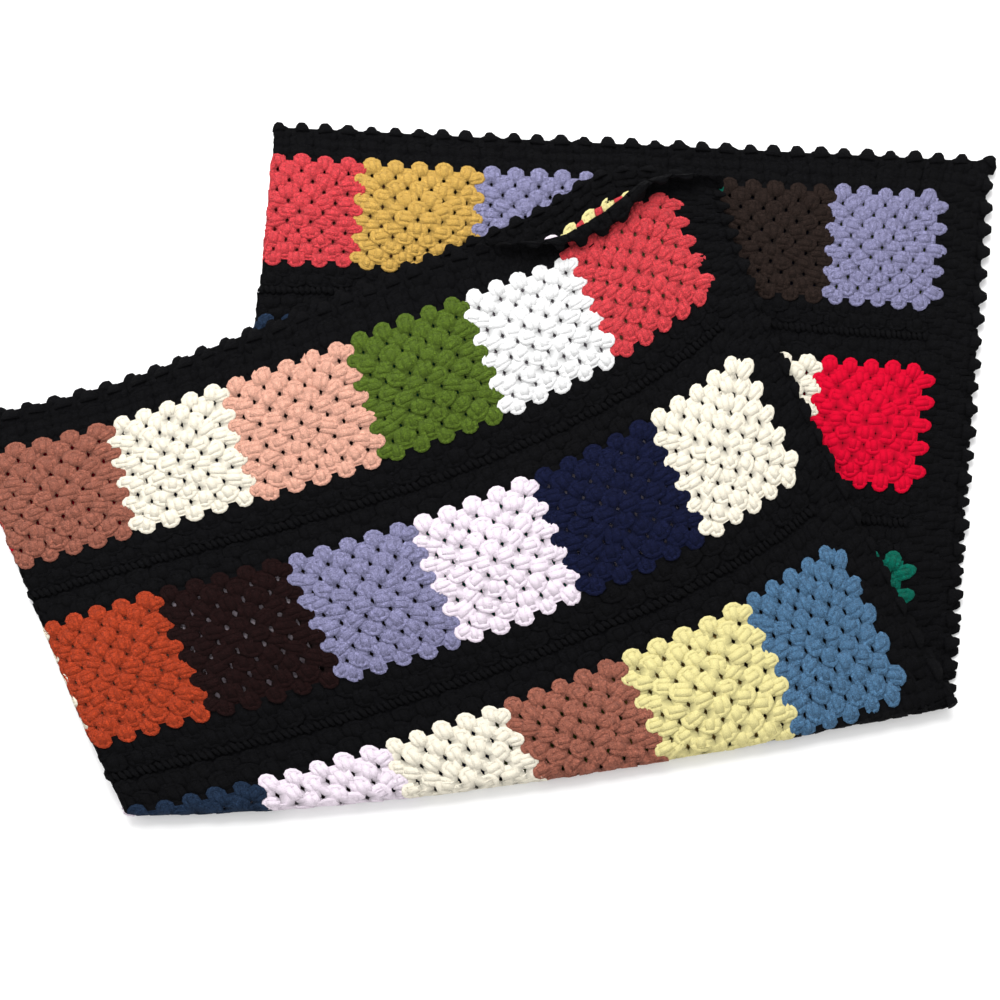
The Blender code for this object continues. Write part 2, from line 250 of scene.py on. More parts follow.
# How far the pulled cloth lies off its even places, in millimetres along and up, at the squares' side
# edges (left end to right end) and in each row's middle (from the top edge)
pulled = {
    "along": ((9, 0, 0, 0, 0, 0, 0, 1, 4, 5, 8, 4, -9),
              (9, 0, 0, 0, 0, 0, 0, 0, 0, 0, 2, 4, -11),
              (9, 0, 0, 0, 0, 0, 0, 0, 0, 0, 0, 0, -15),
              (-9, -28, -15, -19, -18, -9, 3, 0, 0, 0, 0, 0, -9),
              (0, -9, 0, -3, -8, 0, 5, 0, 0, 0, 0, 0, -9),
              (10, 3, -1, -1, 4, -3, 7, 0, 0, 0, 0, 0, -9)),
    "up": ((0, 0, 0, 0, 0, 0, 6, 3, -1, -1, 0, -2, -2),
           (0, 0, 0, 0, 0, 8, 13, 24, 4, 0, 8, 3, 0),
           (0, 0, 0, 0, 0, 0, 0, 0, 0, 0, 0, -15, -15),
           (2, -2, -4, -1, 3, 2, 0, 0, 0, 0, 0, 0, 0),
           (4, 0, -6, -3, -2, -4, -5, 0, 0, 0, 0, 0, 0),
           (-15, -3, 4, 2, 0, -1, -4, 0, 0, 0, 0, -8, -9)),
    # the first and the last row's values hold this far out, and fade to the cloth's edge
    "hold": 0.060,
}


def pullCloth(u, v):
    # flat places on the even cloth to those on the pulled one
    edges = [(k - cloth["columns"] / 2) * cloth["squareWidth"] for k in range(cloth["columns"] + 1)]
    acrossAt = [-halfWidth, *edges, halfWidth]
    rowPitch = cloth["squareHeight"] + cloth["bandHeight"]
    middles = [(k - (cloth["rows"] - 1) / 2) * rowPitch for k in range(cloth["rows"])]
    upAt = [-halfHeight, middles[0] - pulled["hold"], *middles, middles[-1] + pulled["hold"], halfHeight]
    # a place at the far end still counts to the last cell
    column = np.clip(np.interp(u, acrossAt, range(len(acrossAt))), 0, len(acrossAt) - 1.001)
    row = np.clip(np.interp(v, upAt, range(len(upAt))), 0, len(upAt) - 1.001)
    i, j = column.astype(int), row.astype(int)
    s, t = column - i, row - j
    moved = []
    for name in ("along", "up"):
        table = np.array(pulled[name])[::-1] / 1000
        table = np.pad(np.vstack([table[:1], table, table[-1:]]), 1)
        moved.append((table[j, i] * (1 - s) + table[j, i + 1] * s) * (1 - t)
                     + (table[j + 1, i] * (1 - s) + table[j + 1, i + 1] * s) * t)
    return u + moved[0], v + moved[1]


print("fold mapping ready, flat size", round(2 * halfWidth, 3), "by", round(2 * halfHeight, 3))

# Yarns: colour in sRGB as seen, sheen of the fibre, how mottled the yarn is, and its relief: how far its
# plies stand out, in bumps and in their painted shade and highlight, and how round its clusters are
yarns = {
    "black": {"colour": (0.030, 0.030, 0.040), "sheen": 0.0, "mottle": 0.30, "relief": 1.00},
    "coral": {"colour": (0.817, 0.247, 0.275), "sheen": 0.04, "mottle": 0.24, "relief": 1.00},
    "mustard": {"colour": (0.807, 0.646, 0.323), "sheen": 0.04, "mottle": 0.14, "relief": 0.80},
    "periwinkle": {"colour": (0.531, 0.526, 0.666), "sheen": 0.04, "mottle": 0.24, "relief": 1.00},
    "teal": {"colour": (0.000, 0.386, 0.318), "sheen": 0.02, "mottle": 0.12, "relief": 1.00},
    "darkBrown": {"colour": (0.155, 0.117, 0.103), "sheen": 0.0, "mottle": 0.25, "relief": 1.00},
    "cream": {"colour": (0.985, 0.955, 0.880), "sheen": 0.04, "mottle": 0.05, "relief": 0.45},
    "crimson": {"colour": (0.868, 0.010, 0.183), "sheen": 0.0, "mottle": 0.06, "relief": 0.30},
    "rosyBrown": {"colour": (0.613, 0.372, 0.304), "sheen": 0.04, "mottle": 0.22, "relief": 1.00},
    "peach": {"colour": (0.907, 0.678, 0.592), "sheen": 0.04, "mottle": 0.12, "relief": 0.85},
    "green": {"colour": (0.320, 0.407, 0.126), "sheen": 0.02, "mottle": 0.20, "relief": 1.00},
    "white": {"colour": (0.985, 0.985, 0.985), "sheen": 0.04, "mottle": 0.03, "relief": 0.40},
    "rust": {"colour": (0.672, 0.240, 0.125), "sheen": 0.02, "mottle": 0.18, "relief": 1.00},
    "maroon": {"colour": (0.110, 0.046, 0.046), "sheen": 0.0, "mottle": 0.25, "relief": 1.00},
    "lavender": {"colour": (0.975, 0.920, 0.970), "sheen": 0.04, "mottle": 0.05, "relief": 0.50},
    "navy": {"colour": (0.067, 0.086, 0.197), "sheen": 0.0, "mottle": 0.25, "relief": 1.00},
    "paleYellow": {"colour": (0.926, 0.882, 0.616), "sheen": 0.04, "mottle": 0.07, "relief": 0.45},
    "denim": {"colour": (0.294, 0.439, 0.569), "sheen": 0.04, "mottle": 0.30, "relief": 1.00},
    "inkBlue": {"colour": (0.122, 0.182, 0.268), "sheen": 0.0, "mottle": 0.30, "relief": 1.00},
}

# The yarn of each square, row by row from the top edge, left end to right end
squareYarns = (
    ("green", "navy", "rust", "maroon", "darkBrown", "rosyBrown",
     "coral", "mustard", "periwinkle", "teal", "darkBrown", "periwinkle"),
    ("darkBrown", "crimson", "lavender", "denim", "rosyBrown", "paleYellow",
     "inkBlue", "cream", "rust", "green", "cream", "crimson"),
    ("teal", "cream", "periwinkle", "maroon", "white", "coral",
     "paleYellow", "navy", "rosyBrown", "peach", "lavender", "teal"),
    ("denim", "paleYellow", "rosyBrown", "cream", "lavender", "inkBlue",
     "lavender", "maroon", "navy", "green", "mustard", "darkBrown"),
    ("cream", "navy", "lavender", "periwinkle", "maroon", "rust",
     "cream", "lavender", "darkBrown", "teal", "lavender", "maroon"),
    ("coral", "white", "green", "peach", "cream", "rosyBrown",
     "crimson", "navy", "maroon", "teal", "lavender", "paleYellow"),
)

# What all the yarns share. Tones are parts of the yarn's own colour, painted into it as shade in the ply
# grooves and in the pits by the gaps, and as a highlight on the ply crests.
finish = {
    "roughness": 0.9,
    "specular": 0.08,
    "sheenRoughness": 0.45,
    # painted shade in the ply grooves and pits, painted highlight on the ply crests
    "Groove tone": 0.77,
    "Crest tone": 1.12,
    "Pit tone": 0.28,
    # smoother yarn would come out lighter, as fewer of its slopes turn away from the light
    "smoothShade": 0.40,
    "smoothPower": 0.6,
    "bump": 0.9,
    "bumpDistance": 0.0012,
    "plyPower": 0.6,         # plies are round on top, with narrow grooves between them
    "fuzzHeight": 0.7,
    "fibrePart": 0.4,
    "curlPart": 3.6,
    "mottleGain": 4.5,
}


def linear(colour):
    return tuple(c / 12.92 if c <= 0.04045 else ((c + 0.055) / 1.055) ** 2.4 for c in colour) + (1.0,)


def feed(tree, node, values):
    # values: by an input's name or number, what it is set to or the socket that it comes from
    for key, value in values.items():
        if isinstance(value, bpy.types.NodeSocket):
            tree.links.new(value, node.inputs[key])
        else:
            node.inputs[key].default_value = value


def addNode(tree, kind, values=None, **settings):
    node = tree.nodes.new(kind)
    for key, value in settings.items():
        setattr(node, key, value)
    feed(tree, node, values or {})
    return node


def nodeTree(name, kind, inputs, outputs):
    # a tree, what its inputs give, and its end; each socket has a name, a kind and, for some, a value
    tree = bpy.data.node_groups.new(name, kind)
    for way, sockets in (("INPUT", inputs), ("OUTPUT", outputs)):
        for label, socketKind, *value in sockets:
            made = tree.interface.new_socket(name=label, in_out=way, socket_type="NodeSocket" + socketKind)
            if value:
                made.default_value = value[0]
    return tree, addNode(tree, "NodeGroupInput").outputs, addNode(tree, "NodeGroupOutput")


def calc(tree, operation, *items):
    return addNode(tree, "ShaderNodeMath", dict(enumerate(items)), operation=operation).outputs[0]


def scaled(tree, vector, factor):
    return addNode(tree, "ShaderNodeVectorMath", {0: vector, "Scale": factor}, operation="SCALE").outputs[0]


def plyGroup():
    # twisted plies: the UV runs round the strand and along it, and a little noise keeps them from being even
    tree, given, end = nodeTree("yarn plies", "ShaderNodeTree", (
        ("Yarn UV", "Vector"), ("Place", "Vector"), ("Plies", "Float", 3.0), ("Turns", "Float", 2.0),
        ("Wander", "Float", 7.0)), (("Height", "Float"),))
    runs = addNode(tree, "ShaderNodeSeparateXYZ", {0: given["Yarn UV"]})
    wander = addNode(tree, "ShaderNodeTexNoise", {"Scale": 210.0, "Detail": 1.0, "Vector": given["Place"]})
    around = calc(tree, "MULTIPLY", runs.outputs["X"], given["Plies"])
    along = calc(tree, "MULTIPLY", runs.outputs["Y"], given["Turns"])
    astray = calc(tree, "MULTIPLY", wander.outputs["Fac"], given["Wander"])
    phase = calc(tree, "ADD", calc(tree, "ADD", around, along), astray)
    wave = calc(tree, "ABSOLUTE", calc(tree, "SINE", calc(tree, "MULTIPLY", phase, math.pi)))
    feed(tree, end, {"Height": calc(tree, "POWER", wave, finish["plyPower"])})
    return tree


def fuzzGroup():
    # loose fibres, small curls of yarn and uneven dye
    tree, given, end = nodeTree("yarn fuzz", "ShaderNodeTree", (
        ("Place", "Vector"), ("Fibre scale", "Float", 1500.0), ("Curl scale", "Float", 310.0),
        ("Mottle", "Float", 0.1), ("Yarn colour", "Color")), (("Height", "Float"), ("Colour", "Color")))
    noises = []
    for name, detail, distortion in (("Fibre scale", 2.0, 0.0), ("Curl scale", 1.5, 2.5)):
        noises.append(addNode(tree, "ShaderNodeTexNoise", {
            "Vector": given["Place"], "Scale": given[name], "Detail": detail, "Roughness": 0.6,
            "Distortion": distortion}).outputs["Fac"])
    both = calc(tree, "SUBTRACT", calc(tree, "ADD", *noises), 1.0)
    mottled = calc(tree, "MULTIPLY", both, calc(tree, "MULTIPLY", given["Mottle"], finish["mottleGain"]))
    colour = scaled(tree, given["Yarn colour"], calc(tree, "ADD", mottled, 1.0))
    height = calc(tree, "ADD", calc(tree, "MULTIPLY", noises[0], finish["fibrePart"]),
                  calc(tree, "MULTIPLY", noises[1], finish["curlPart"]))
    feed(tree, end, {"Height": height, "Colour": colour})
    return tree


def shadeGroup():
    # painted shade and highlight: the yarn's colour is darkened between its plies and in the pits between
    # clusters, and lightened on top of a ply
    tree, given, end = nodeTree("yarn grooves", "ShaderNodeTree", (
        ("Yarn colour", "Color"), ("Ply height", "Float", 1.0), ("Pit", "Float", 0.0),
        *((tone, "Float", finish[tone]) for tone in ("Groove tone", "Crest tone", "Pit tone"))),
        (("Colour", "Color"),))
    gain = calc(tree, "SUBTRACT", given["Crest tone"], given["Groove tone"])
    tone = calc(tree, "ADD", calc(tree, "MULTIPLY", given["Ply height"], gain), given["Groove tone"])
    deep = calc(tree, "MULTIPLY", given["Pit"], calc(tree, "SUBTRACT", 1.0, given["Pit tone"]))
    tone = calc(tree, "MULTIPLY", tone, calc(tree, "SUBTRACT", 1.0, deep))
    feed(tree, end, {"Colour": scaled(tree, given["Yarn colour"], tone)})
    return tree


plies, fuzz, grooves = plyGroup(), fuzzGroup(), shadeGroup()


def yarnMaterial(name, yarn):
    material = bpy.data.materials.new(name + "Yarn")
    material.use_nodes = True
    tree = material.node_tree
    uvMap = addNode(tree, "ShaderNodeUVMap", uv_map="yarnUv")
    place = addNode(tree, "ShaderNodeTexCoord")
    # where painted pit shade falls, from the ground cloth's attribute
    pitShade = addNode(tree, "ShaderNodeAttribute", attribute_name="pitShade")
    plyNode = addNode(tree, "ShaderNodeGroup", {
        "Yarn UV": uvMap.outputs[0], "Place": place.outputs["Object"]}, node_tree=plies)
    fuzzNode = addNode(tree, "ShaderNodeGroup", {
        "Place": place.outputs["Object"], "Mottle": yarn["mottle"], "Yarn colour": linear(yarn["colour"])},
        node_tree=fuzz)
    # painted light: smoother yarn is painted lighter overall, and its painted groove shade and crest
    # highlight are weaker
    level = 1 - finish["smoothShade"] * (1 - yarn["relief"]) ** finish["smoothPower"]
    middle = (finish["Groove tone"] + 2 * finish["Crest tone"]) / 3
    tones = {tone: level * (middle + (finish[tone] - middle) * yarn["relief"])
             for tone in ("Groove tone", "Crest tone")}
    grooveNode = addNode(tree, "ShaderNodeGroup", {
        "Yarn colour": fuzzNode.outputs["Colour"], "Ply height": plyNode.outputs["Height"],
        "Pit": pitShade.outputs["Fac"], **tones}, node_tree=grooves)
    fuzzHeight = calc(tree, "MULTIPLY", fuzzNode.outputs["Height"], finish["fuzzHeight"])
    bump = addNode(tree, "ShaderNodeBump", {
        "Strength": finish["bump"] * yarn["relief"], "Distance": finish["bumpDistance"],
        "Height": calc(tree, "ADD", plyNode.outputs["Height"], fuzzHeight)})
    feed(tree, tree.nodes["Principled BSDF"], {
        "Base Color": grooveNode.outputs["Colour"], "Roughness": finish["roughness"],
        "Specular IOR Level": finish["specular"], "Sheen Weight": yarn["sheen"],
        "Sheen Roughness": finish["sheenRoughness"], "Normal": bump.outputs[0]})
    return material


yarnMaterials = {name: yarnMaterial(name, yarn) for name, yarn in yarns.items()}
print("yarns ready:", len(yarnMaterials))

# One crocheted cluster, in parts of its own half width, half height and half thickness.
# It points along +Y: three posts fan out from a gathered foot, and the loops of their tops arch over them.
cluster = {
    "middlePost": ((0.00, -0.98, -0.25), (0.00, -0.25, 0.30), (0.00, 0.62, 0.20)),
    "sidePost": ((0.40, -0.88, -0.40), (0.60, -0.18, 0.02), (0.60, 0.56, -0.06)),
    "postWidth": (0.36, 0.41, 0.39),
    "postDepth": (0.72, 0.88, 0.82),
    "loops": ((-0.70, -0.06, -0.25), (-0.76, 0.40, -0.05), (-0.44, 0.73, 0.02), (0.00, 0.80, 0.09),
              (0.44, 0.73, 0.02), (0.76, 0.40, -0.05), (0.70, -0.06, -0.25)),
    "loopWidth": (0.16, 0.28, 0.25, 0.29, 0.25, 0.28, 0.16),
    "loopDepth": (0.55, 0.86, 0.76, 0.88, 0.76, 0.86, 0.55),
    "sides": 4,
    "postRun": 2.0,          # the yarn's own UV along a post, and along the loops
    "loopRun": 3.2,
}

# A short puffed loop, in parts of its own half sizes: widths along it and its sides, for a picot and for a
# stitch of the joining ridge
knob = {
    "picotStitch": ((1.15, 1.10, 0.90, 0.48), 6),
    "ridgeStitch": ((0.45, 0.80, 0.45), 4),
    "start": -1.0,
    "reach": 1.95,
    "rise": 0.1,
    "run": 1.0,
}


def addObject(name, data):
    made = bpy.data.objects.new(name, data)
    bpy.context.scene.collection.objects.link(made)
    return made


def tube(parts, path, widths, depths, sides, length):
    # one closed strand through path; parts collects points, faces and the yarn's own UV
    points, faces, uvs = parts
    path = [Vector(point) for point in path]
    base = len(points)
    for k, centre in enumerate(path):
        run = (path[min(k + 1, len(path) - 1)] - path[max(k - 1, 0)]).normalized()
        across = Vector((run.y, -run.x, 0.0)).normalized()
        for s in range(sides):
            angle = 2 * math.pi * (s + 0.5) / sides
            x, z = (turned * size / math.cos(math.pi / sides)
                    for turned, size in ((math.cos(angle), widths[k]), (math.sin(angle), depths[k])))
            points.append(centre + across * x + Vector((0, 0, z)))
    last = len(path) - 1
    for k in range(last):
        low, high = base + k * sides, base + (k + 1) * sides
        for s in range(sides):
            t = (s + 1) % sides
            faces.append((low + s, low + t, high + t, high + s))
            uvs += [(s / sides, length * k / last), ((s + 1) / sides, length * k / last),
                    ((s + 1) / sides, length * (k + 1) / last), (s / sides, length * (k + 1) / last)]
    for ring, order in ((0, range(sides - 1, -1, -1)), (last, range(sides))):
        faces.append(tuple(base + ring * sides + s for s in order))
        uvs += [(s / sides, length * ring / last) for s in order]


def finishMesh(name, parts):
    points, faces, uvs = parts
    mesh = bpy.data.meshes.new(name)
    mesh.from_pydata([tuple(point) for point in points], [], faces)
    layer = mesh.uv_layers.new(name="yarnUv")
    layer.data.foreach_set("uv", np.array(uvs, dtype=np.float32).ravel())
    mesh.polygons.foreach_set("use_smooth", [True] * len(faces))
    built = bmesh.new()
    built.from_mesh(mesh)
    bmesh.ops.recalc_face_normals(built, faces=built.faces)
    built.to_mesh(mesh)
    built.free()
    stitch = addObject(name, mesh)
    stitch.hide_render = True
    return stitch


def clusterStitch(name, looped):
    parts = ([], [], [])
    post = (cluster["postWidth"], cluster["postDepth"], cluster["sides"], cluster["postRun"])
    for side in (-1, 1):
        tube(parts, [(side * x, y, z) for x, y, z in cluster["sidePost"]], *post)
    tube(parts, cluster["middlePost"], *post)
    if looped:
        tube(parts, *(cluster[part] for part in ("loops", "loopWidth", "loopDepth", "sides", "loopRun")))
    return finishMesh(name, parts)


def knobStitch(name):
    parts = ([], [], [])
    widths, sides = knob[name]
    last = len(widths) - 1
    path = [(0, knob["start"] + knob["reach"] * k / last, knob["rise"]) for k in range(last + 1)]
    tube(parts, path, widths, widths, sides, knob["run"])
    return finishMesh(name, parts)


fineCluster, plainCluster = clusterStitch("fineCluster", True), clusterStitch("plainCluster", False)
picotStitch, ridgeStitch = knobStitch("picotStitch"), knobStitch("ridgeStitch")
fineFaces, plainFaces = (len(stitch.data.polygons) for stitch in (fineCluster, plainCluster))
print("stitches ready:", fineFaces, "faces in a fine cluster,", plainFaces, "in a plain one")


def numberSocket(sockets, name):
    return next(item for item in sockets if item.name == name and item.type == "VALUE")


def stitchTree():
    # a stitch on every point, turned and sized by the point's own attributes with a little seeded unevenness
    tree, given, end = nodeTree("crocheted stitches", "GeometryNodeTree", (
        ("Places", "Geometry"), ("Stitch", "Object"), ("Yarn", "Material"), ("Uneven place", "Float", 0.0006),
        ("Uneven turn", "Float", 0.16), ("Uneven tilt", "Float", 0.08), ("Uneven size", "Float", 0.08),
        ("Seed", "Int", 7)), (("Stitches", "Geometry"),))
    turn = addNode(tree, "GeometryNodeInputNamedAttribute", {"Name": "turn"}, data_type="FLOAT")
    spread = addNode(tree, "GeometryNodeInputNamedAttribute", {"Name": "spread"}, data_type="FLOAT_VECTOR")
    # three chances, each with a seed of its own: for the turns, the size and the place
    uneven = addNode(tree, "FunctionNodeRandomValue", data_type="FLOAT_VECTOR")
    feed(tree, uneven, {"Min": (-1, -1, -1), "Max": (1, 1, 1), "Seed": given["Seed"]})
    chance = addNode(tree, "ShaderNodeSeparateXYZ", {0: uneven.outputs["Value"]})
    tiltX, tiltY = (calc(tree, "MULTIPLY", chance.outputs[axis], given["Uneven tilt"]) for axis in "XY")
    turned = calc(tree, "ADD", turn.outputs["Attribute"],
                  calc(tree, "MULTIPLY", chance.outputs["Z"], given["Uneven turn"]))
    angles = addNode(tree, "ShaderNodeCombineXYZ", {0: tiltX, 1: tiltY, 2: turned})
    rotation = addNode(tree, "FunctionNodeEulerToRotation", {"Euler": angles.outputs[0]})
    sizes = addNode(tree, "FunctionNodeRandomValue", data_type="FLOAT")
    for name, operation in (("Min", "SUBTRACT"), ("Max", "ADD")):
        tree.links.new(calc(tree, operation, 1.0, given["Uneven size"]), numberSocket(sizes.inputs, name))
    feed(tree, sizes, {"Seed": calc(tree, "ADD", given["Seed"], 11.0)})
    size = scaled(tree, spread.outputs["Attribute"], numberSocket(sizes.outputs, "Value"))
    astray = addNode(tree, "FunctionNodeRandomValue", data_type="FLOAT_VECTOR")
    feed(tree, astray, {"Min": (-1, -1, 0), "Max": (1, 1, 0), "Seed": calc(tree, "ADD", given["Seed"], 5.0)})
    offset = scaled(tree, astray.outputs["Value"], given["Uneven place"])
    stitch = addNode(tree, "GeometryNodeObjectInfo", {"Object": given["Stitch"], "As Instance": True})
    moved = addNode(tree, "GeometryNodeSetPosition", {"Geometry": given["Places"], "Offset": offset})
    placed = addNode(tree, "GeometryNodeInstanceOnPoints", {
        "Points": moved.outputs[0], "Instance": stitch.outputs["Geometry"],
        "Rotation": rotation.outputs[0], "Scale": size})
    real = addNode(tree, "GeometryNodeRealizeInstances", {"Geometry": placed.outputs[0]})
    dressed = addNode(tree, "GeometryNodeSetMaterial", {
        "Geometry": real.outputs[0], "Material": given["Yarn"]})
    feed(tree, end, {"Stitches": dressed.outputs[0]})
    return tree


stitches = stitchTree()
firstSeed = 3                # a group's seed is this plus the length of its name


def crochet(name, places, stitch, yarn, **uneven):
    # places: rows of u, v, rise, turn, half width, half height, half thickness
    places = np.array(places, dtype=float)
    mesh = bpy.data.meshes.new(name + "Places")
    mesh.from_pydata(places[:, :3].tolist(), [], [])
    mesh.attributes.new("turn", "FLOAT", "POINT").data.foreach_set("value", places[:, 3])
    mesh.attributes.new("spread", "FLOAT_VECTOR", "POINT").data.foreach_set("vector", places[:, 4:7].ravel())
    holder = addObject(name + "Places", mesh)
    modifier = holder.modifiers.new("crochet", "NODES")
    modifier.node_group = stitches
    inputs = {item.name: item.identifier for item in stitches.interface.items_tree if item.in_out == "INPUT"}
    values = {"Stitch": stitch, "Yarn": yarn, "Seed": firstSeed + len(name), **uneven}
    for key, value in values.items():
        modifier[inputs[key]] = value
    depsgraph = bpy.context.evaluated_depsgraph_get()
    made = bpy.data.meshes.new_from_object(
        holder.evaluated_get(depsgraph), preserve_all_data_layers=True, depsgraph=depsgraph)
    bpy.data.objects.remove(holder, do_unlink=True)
    bpy.data.meshes.remove(mesh)
    return made


def joinMeshes(name, meshes):
    piece, *others = [addObject(name, mesh) for mesh in meshes]
    for other in others:
        chosen = {"active_object": piece, "object": piece, "selected_editable_objects": [piece, other]}
        with bpy.context.temp_override(**chosen):
            bpy.ops.object.join()
    return piece


def drape(piece):
    # folds a flat piece in place
    mesh = piece.data
    flat = np.empty(len(mesh.vertices) * 3)
    mesh.vertices.foreach_get("co", flat)
    flat = flat.reshape(-1, 3)
    mesh.vertices.foreach_set("co", foldCloth(*pullCloth(flat[:, 0], flat[:, 1]), flat[:, 2]).ravel())
    for name in ("turn", "spread"):
        if name in mesh.attributes:
            mesh.attributes.remove(mesh.attributes[name])
    mesh.update()


# The granny squares: clusters in rounds about a middle gap, on a lattice of half pitches
square = {
    "gapWidth": 0.0042,      # the gaps between clusters, as long as they show
    "gapHeight": 0.0064,
    "clusterDepth": 0.0016,
    "smoothFlat": 0.36,      # smoother yarn has flatter clusters, apart from the outermost ones
    "cornerLean": 0.26,      # clusters next to a corner lean towards it
    "edgeReach": -0.04,      # how far the last round's clusters are moved out, in half pitches
    "edgeWidth": 0.84,
    # where two squares are joined, their last clusters are small and lock into each other
    "joinShift": 0.50,
    "joinReach": -0.30,
    "joinSize": (0.0068, 0.0088),
}
rounds = cloth["rounds"]
stepU, stepV = cloth["squareWidth"] / (2 * rounds), cloth["squareHeight"] / (2 * rounds)


def squareMiddle(row, column):
    u = -squaresU + (column + 0.5) * cloth["squareWidth"]
    v = squaresV - (row + 0.5) * cloth["squareHeight"] - row * cloth["bandHeight"]
    return u, v


def clusterSteps():
    # half pitches from a square's middle to its clusters
    steps = range(-rounds, rounds + 1)
    return [(i, j) for i in steps for j in steps if (i + j) % 2]


def squareClusters(row, column):
    middleU, middleV = squareMiddle(row, column)
    relief = yarns[squareYarns[row][column]]["relief"]
    flatter = square["clusterDepth"] * (1 - square["smoothFlat"] * (1 - relief))
    wide = stepU - square["gapWidth"] / 2
    tall = stepV - square["gapHeight"] / 2
    places = []
    for i, j in clusterSteps():
        ring = max(abs(i), abs(j))
        if abs(j) > abs(i):
            turn = 0.0 if j > 0 else math.pi
            towards = np.sign(i) * (1 if j > 0 else -1)
            corner = abs(i) == ring - 1 and ring > 1
            size = (wide, tall)
        else:
            turn = -math.pi / 2 if i > 0 else math.pi / 2
            towards = -np.sign(j) * (1 if i > 0 else -1)
            corner = abs(j) == ring - 1 and ring > 1
            size = (tall, wide)
        u, v = middleU + i * stepU, middleV + j * stepV
        if corner:
            turn -= towards * square["cornerLean"]
        if abs(i) == rounds:
            way = np.sign(i)
            joined = 0 <= column + way < cloth["columns"]
            u += way * square["joinReach" if joined else "edgeReach"] * stepU
            v += way * square["joinShift"] * stepV * joined
            size = square["joinSize"] if joined else (size[0] * square["edgeWidth"], size[1])
        elif abs(j) == rounds:
            v += np.sign(j) * square["edgeReach"] * stepV
            size = (size[0] * square["edgeWidth"], size[1])
        depth = flatter if ring < rounds else square["clusterDepth"]
        places.append((u, v, 0.0, turn, size[0], size[1], depth))
    return places


def crochetBoth(name, places, yarn):
    # fine clusters where they show, plain ones inside the bundle
    places = np.array(places)
    seen = shows(places[:, 0], places[:, 1])
    kinds = (("Fine", places[seen], fineCluster), ("Plain", places[~seen], plainCluster))
    return [crochet(name + kind, group, stitch, yarnMaterials[yarn])
            for kind, group, stitch in kinds if len(group)]


# Coral clusters at the rolled edge: tips between the clusters of the layer under it, and some that reach
# in under the roll. Places are in half pitches from a square's middle.
cornerBits = {
    "tips": {"square": (5, 11), "rise": -0.0024, "size": (0.0046, 0.0062, 0.0020),
             "at": ((-3, -4.9), (-1, -4.9), (1, -4.9), (3, -4.9))},
    "shaded": {"square": (5, 0), "rise": 0.0008, "size": (0.0112, 0.0090, 0.0016),
               "at": ((5, -5.7), (3, -5.9), (1, -5.9), (4, -6.8), (2, -6.8))},
}


def bitPlaces():
    places = []
    for bits in cornerBits.values():
        middleU, middleV = squareMiddle(*bits["square"])
        for i, j in bits["at"]:
            places.append((middleU + i * stepU, middleV + j * stepV, bits["rise"], math.pi, *bits["size"]))
    return places


pieces = []


def addPiece(name, meshes):
    piece = joinMeshes(name, meshes)
    drape(piece)
    pieces.append(piece)
    print(name, len(piece.data.polygons), "faces")


for yarn in yarns:
    places = [place for row in range(cloth["rows"]) for column in range(cloth["columns"])
              if squareYarns[row][column] == yarn for place in squareClusters(row, column)]
    if not places:
        continue
    made = crochetBoth(yarn + "Squares", places, yarn)
    if yarn == "coral":
        made.append(crochet("cornerBits", bitPlaces(), plainCluster, yarnMaterials[yarn]))
    addPiece(yarn + "Squares", made)

# Black bands and border: rows of clusters over the squares' edges, and a ridge where two edges are joined
black = {
    "clustersPerSquare": 5,
    "bandRows": (0.0120, 0.0245),              # middles of the rows, from the squares' last clusters
    "edgeRows": (0.0120, 0.0240, 0.0360),
    "endRows": (0.0095, 0.0185, 0.0275, 0.0365),
    "reach": 0.0090,         # half height of a cluster
    "fill": 0.985,           # half width of a cluster, in parts of half its pitch
    "depth": 0.0020,
    "lowered": -0.0014,
    "ridgePitch": 0.0063,
    "ridgeRise": 0.0004,
    "ridgeSize": (0.0033, 0.0046, 0.0021),
    "ridgeLean": 0.45,
    "sidePitch": 0.0250,
    "endGrowth": 0.75,       # the rows at the ends reach past the squares by this part of their offset
    "picotSize": (0.0066, 0.0056, 0.0022),
    "knobUneven": 0.14,      # of the picots and the ridges' stitches, in size
}


def blackRow(start, end, count, turn, number):
    # a row of clusters from start to end; every second row is shifted by half a pitch
    start, end = np.array(start), np.array(end)
    pitch = np.linalg.norm(end - start) / count
    along = (end - start) / np.linalg.norm(end - start)
    shift = number % 2 / 2
    places = []
    for k in range(count if shift else count + 1):
        u, v = start + along * (k + shift) * pitch
        rise = black["lowered"] * shownSide(u, v)
        places.append((u, v, rise, turn, pitch / 2 * black["fill"], black["reach"], black["depth"]))
    return places


def bandPlaces():
    count = cloth["columns"] * black["clustersPerSquare"]
    steps = round(2 * squaresU / black["ridgePitch"])
    clusters, ridge = [], []
    for row in range(cloth["rows"] - 1):
        upper = squareMiddle(row, 0)[1] - cloth["squareHeight"] / 2
        lower = upper - cloth["bandHeight"]
        for edge, way, turn in ((lower, 1, 0.0), (upper, -1, math.pi)):
            for number, offset in enumerate(black["bandRows"]):
                v = edge + way * offset
                clusters += blackRow((-squaresU, v), (squaresU, v), count, turn, number)
        for k in range(steps):
            u = -squaresU + (k + 0.5) * 2 * squaresU / steps
            place = (u, (upper + lower) / 2, black["ridgeRise"])
            ridge.append((*place, black["ridgeLean"], *black["ridgeSize"]))
    return clusters, ridge


def edgeRow(offset):
    # reach, pitch and count of a long edge's row that lies this far out
    pitch = cloth["squareWidth"] / black["clustersPerSquare"]
    extra = round(2 * offset / pitch)
    return squaresU + extra * pitch / 2, pitch, cloth["columns"] * black["clustersPerSquare"] + extra


def endRow(offset):
    # reach and count of a row at the ends
    reach = squaresV + offset * black["endGrowth"]
    return reach, round(2 * reach / black["sidePitch"])


